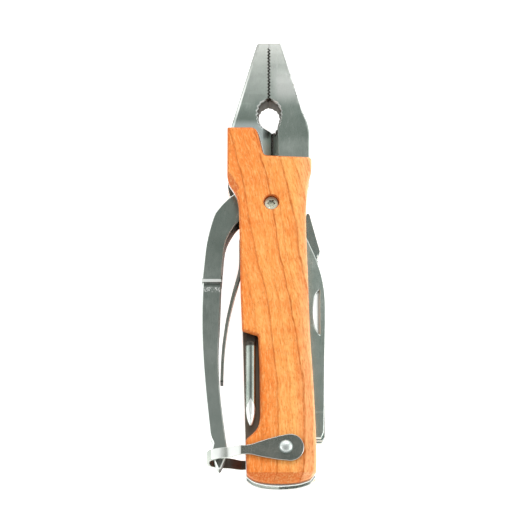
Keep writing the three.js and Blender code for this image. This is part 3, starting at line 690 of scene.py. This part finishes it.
def painted_wood_light_and_shade(tree, place, colour):
    """Painted shade deepens the left side, the pocket's edge is painted darker, and a painted highlight makes
    the right side pale.
    The rounded edges and slopes get painted shade, except along the right side above the butt, which gets the
    painted highlight.
    """
    x, y, _ = tree.split(place)
    # The left side is painted shade, and the pocket's side is darker.
    pocket_side = tree.times(tree.spread(x, *POCKET_SIDE_X), tree.ease(y, *POCKET_SIDE_Y))
    left_shade_and_pocket_dark = tree.largest(tree.ease(x, *LEFT_SHADE_X), pocket_side)
    colour = tree.mix(left_shade_and_pocket_dark, colour, LEFT_SHADE)
    # The pale right side is a painted highlight.
    colour = tree.mix(tree.ease(x, *RIGHT_GLOW_X), colour, RIGHT_GLOW)
    turned_away = tree.ease(tree.absolute(tree.normal()[2]), *TURNED_AWAY_SLOPE)
    right_edge = tree.times(tree.spread(x, *RIGHT_EDGE_X), tree.spread(y, *RIGHT_EDGE_Y))
    return tree.mix(turned_away, colour, tree.mix(right_edge, SLOPE_SHADE, RIGHT_GLOW))


def cherry_wood():
    """Oiled cherry with ring lines, fibres, pores and flecks."""
    material, tree, shader = new_material("cherry_wood")
    place = tree.place()
    _, y, z = tree.split(place)
    across = across_grain(tree, place)
    fibre_place = tree.combine(across, y, z)
    rings, lines = ring_marks(tree, across, fibre_place)
    bands = tree.streaks(fibre_place, BAND_SCALES, 3, 0.55)
    fibres = tree.streaks(fibre_place, FIBRE_SCALES, 5, 0.72)
    figure = tree.streaks(place, FIGURE_SCALES, 2, 0.5)
    pores = tree.streaks(fibre_place, PORE_SCALES, 3, 0.6)
    flecks = tree.streaks(fibre_place, FLECK_SCALES, 3, 0.7)

    colour = tree.mix(tree.ease(bands, *BANDS), PALE, WARM)
    colour = tree.mix(tree.ease(figure, *FIGURE), colour, DEEP)
    colour = painted_wood_light_and_shade(tree, place, colour)
    colour = tree.mix(tree.times(rings, RING_SHARE), colour, DEEP)
    colour = tree.mix(tree.spread(fibres, *DARK_FIBRES), colour, DEEP)
    colour = tree.mix(tree.spread(fibres, *PALE_FIBRES), colour, PALE_FIBRE)
    colour = tree.mix(tree.spread(pores, *PORES), colour, RING_LINE)
    colour = tree.mix(tree.spread(flecks, *FLECKS), colour, PALE_FLECK)
    colour = tree.mix(tree.times(lines, RING_LINE_SHARE), colour, RING_LINE)
    tree.feed(shader.inputs["Base Color"], colour)
    tree.feed(shader.inputs["Roughness"], tree.spread(fibres, *FIBRE_ROUGHNESS))
    shader.inputs["Coat Weight"].default_value = 0.05
    shader.inputs["Specular IOR Level"].default_value = 0.2
    shader.inputs["Coat Roughness"].default_value = 0.3
    height = tree.math("SUBTRACT", tree.times(fibres, 0.5), pores)
    tree.feed(shader.inputs["Normal"], tree.bump(height, WOOD_RELIEF * MM, WOOD_BUMP))
    return material


cherry = cherry_wood()

# ---------------------------------------------------------------- fine shape

FLAT_DEGREES = 0.2
BEVEL_DEGREES = 30
# The jaws' chamfers turn by 45 degrees and stay crisp, so the bevel on the jaws starts above that.
CHAMFERED_BEVEL_DEGREES = 55
CREASE_DEGREES = 38
WELD_DISTANCE = 0.001
WOOD_CELL = 0.3
WOOD_SANDING = 5


def geometry_group(name):
    """An empty group of geometry nodes, with the sockets where its geometry comes in and goes out."""
    group = bpy.data.node_groups.new(name, "GeometryNodeTree")
    for direction in ("INPUT", "OUTPUT"):
        group.interface.new_socket("Geometry", in_out=direction, socket_type="NodeSocketGeometry")
    start = group.nodes.new("NodeGroupInput")
    end = group.nodes.new("NodeGroupOutput")
    return group, start.outputs[0], end.inputs[0]


def tidy_group():
    """Geometry nodes that join a CAD node's split corners and drop its flat shading."""
    group, geometry, finished = geometry_group("join_corners")
    for attribute in ("custom_normal", "sharp_face", "sharp_edge"):
        drop = group.nodes.new("GeometryNodeRemoveAttribute")
        drop.inputs["Name"].default_value = attribute
        group.links.new(geometry, drop.inputs["Geometry"])
        geometry = drop.outputs["Geometry"]
    weld = group.nodes.new("GeometryNodeMergeByDistance")
    weld.inputs["Distance"].default_value = WELD_DISTANCE * MM
    group.links.new(geometry, weld.inputs["Geometry"])
    group.links.new(weld.outputs["Geometry"], finished)
    return group


def crease_group(angle):
    """Geometry nodes that keep the edges that turn by more than angle degrees crisp."""
    group, geometry, finished = geometry_group("keep_creases")
    turn = group.nodes.new("GeometryNodeInputMeshEdgeAngle")
    compare = group.nodes.new("ShaderNodeMath")
    compare.operation = "GREATER_THAN"
    compare.inputs[1].default_value = math.radians(angle)
    store = group.nodes.new("GeometryNodeStoreNamedAttribute")
    store.data_type = "BOOLEAN"
    store.domain = "EDGE"
    store.inputs["Name"].default_value = "sharp_edge"
    group.links.new(turn.outputs["Unsigned Angle"], compare.inputs[0])
    group.links.new(compare.outputs[0], store.inputs["Value"])
    group.links.new(geometry, store.inputs["Geometry"])
    group.links.new(store.outputs["Geometry"], finished)
    return group


join_corners = tidy_group()
keep_creases = crease_group(CREASE_DEGREES)


def with_nodes(piece, group):
    modifier = piece.modifiers.new(group.name, "NODES")
    modifier.node_group = group


def rounded(piece, width, chamfered=False):
    """Rounds a piece's edges by a real bevel of that width in millimetres.
    A chamfered piece keeps its 45 degree edges crisp.
    """
    with_nodes(piece, join_corners)
    flat = piece.modifiers.new("flat_faces", "DECIMATE")
    flat.decimate_type = "DISSOLVE"
    flat.angle_limit = math.radians(FLAT_DEGREES)
    bevel = piece.modifiers.new("edge_round", "BEVEL")
    bevel.width = width * MM
    bevel.segments = 3 if chamfered else 2
    bevel.limit_method = "ANGLE"
    bevel.angle_limit = math.radians(CHAMFERED_BEVEL_DEGREES if chamfered else BEVEL_DEGREES)
    bevel.use_clamp_overlap = False
    bevel.miter_outer = "MITER_ARC"
    if chamfered:
        with_nodes(piece, keep_creases)
    weighted = piece.modifiers.new("weighted_normals", "WEIGHTED_NORMAL")
    weighted.keep_sharp = True


def worn_smooth(piece, voxel, passes):
    """Remakes a piece from small even cells and smooths them, as sanded wood."""
    remesh = piece.modifiers.new("cells", "REMESH")
    remesh.mode = "VOXEL"
    remesh.voxel_size = voxel * MM
    remesh.use_smooth_shade = True
    smooth = piece.modifiers.new("sanded", "SMOOTH")
    smooth.factor = 0.5
    smooth.iterations = passes


def paint(piece, material):
    piece.data.materials.clear()
    piece.data.materials.append(material)


LOOKS = {
    forged_steel: ("fixed_jaw", "moving_jaw"),
    blade_steel: ("knife_blade", "bottle_opener"),
    scaler_steel: ("fish_scaler",),
    driver_steel: ("phillips_driver",),
    latch_steel: ("latch_bail",),
    liner_steel: (
        "front_liner",
        "rear_liner",
        "front_divider",
        "rear_divider",
        "side_spacer",
        "end_spacer",
    ),
    screw_steel: ("pivot_screw",),
    rivet_steel: ("latch_rivet",),
    spring_steel: ("knife_back_spring", "scaler_back_spring", "opener_back_spring", "lever_spring"),
    cherry: ("front_scale", "rear_scale"),
}
# Widths of the worn edges, in millimetres. A piece that isn't in the list has the plain one.
PLAIN_EDGE = 0.08
LEAF_EDGE = 0.12
EDGE_WIDTHS = {
    "fixed_jaw": 0.12,
    "moving_jaw": 0.12,
    "knife_blade": 0.25,
    "fish_scaler": 0.16,
    "bottle_opener": 0.1,
    "latch_bail": 0.2,
    "lever_spring": 0.1,
}
look_of = {name: look for look, names in LOOKS.items() for name in names}
for name, node in nodes.items():
    paint(node, look_of.get(name, fastener_steel))
    if name in LOOKS[cherry]:
        worn_smooth(node, WOOD_CELL, WOOD_SANDING)
    else:
        rounded(node, EDGE_WIDTHS.get(name, PLAIN_EDGE), chamfered=name in LOOKS[forged_steel])

# The leaf spring is drawn as a copy of the CAD node with its own bevel, and the CAD node is hidden.
leaf = bpy.data.objects.new("leaf_spring", nodes["lever_spring"].data.copy())
scene.collection.objects.link(leaf)
paint(leaf, spring_steel)
rounded(leaf, LEAF_EDGE)
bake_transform(leaf)
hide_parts("lever_spring")

# ---------------------------------------------------------------- floor and light

FLOOR_HALF = 3.0
FLOOR_DROP = 0.2
floor_mesh = bpy.data.meshes.new("floor")
builder = bmesh.new()
bmesh.ops.create_grid(builder, x_segments=4, y_segments=4, size=FLOOR_HALF)
builder.to_mesh(floor_mesh)
builder.free()
floor = bpy.data.objects.new("floor", floor_mesh)
scene.collection.objects.link(floor)
floor_look, _, floor_shader = new_material("light_table")
floor_shader.inputs["Base Color"].default_value = (0.9, 0.9, 0.9, 1)
floor_shader.inputs["Roughness"].default_value = 0.9
floor_shader.inputs["Specular IOR Level"].default_value = 0.1
floor_shader.inputs["Emission Color"].default_value = (1, 1, 1, 1)
floor_shader.inputs["Emission Strength"].default_value = 0.7
paint(floor, floor_look)
floor.location.z = -FLOOR_DROP * MM

# The room is bright low down and dim overhead, where flat metal that faces the camera mirrors it.
DIM_HEIGHT = 0.96
BRIGHT_HEIGHT = 0.7
DIM_GLOW = 0.2
BRIGHT_GLOW = 1.05
world = bpy.data.worlds.new("studio")
scene.world = world
world.use_nodes = True
sky = Tree(world.node_tree)
background = world.node_tree.nodes["Background"]
direction = sky.node("ShaderNodeTexCoord").outputs["Generated"]
glow = sky.spread(sky.split(direction)[2], DIM_HEIGHT, BRIGHT_HEIGHT, DIM_GLOW, BRIGHT_GLOW, True)
sky.feed(background.inputs["Strength"], glow)
background.inputs["Color"].default_value = (1, 1, 1, 1)


def soft_light(name, place_at, size, power):
    """A rectangular softbox that faces the origin, under the middle of the object."""
    data = bpy.data.lights.new(name, "AREA")
    data.shape = "RECTANGLE"
    data.size, data.size_y = size
    data.energy = power
    light = bpy.data.objects.new(name, data)
    scene.collection.objects.link(light)
    light.location = place_at
    light.rotation_euler = (-Vector(place_at)).to_track_quat("-Z", "Y").to_euler()


soft_light("key_softbox", (0.05, 0.85, 0.85), (0.5, 0.4), 4)
soft_light("right_softbox", (0.9, -0.1, 0.4), (0.4, 0.8), 4)
soft_light("left_softbox", (-0.9, -0.2, 0.4), (0.4, 0.5), 1.5)
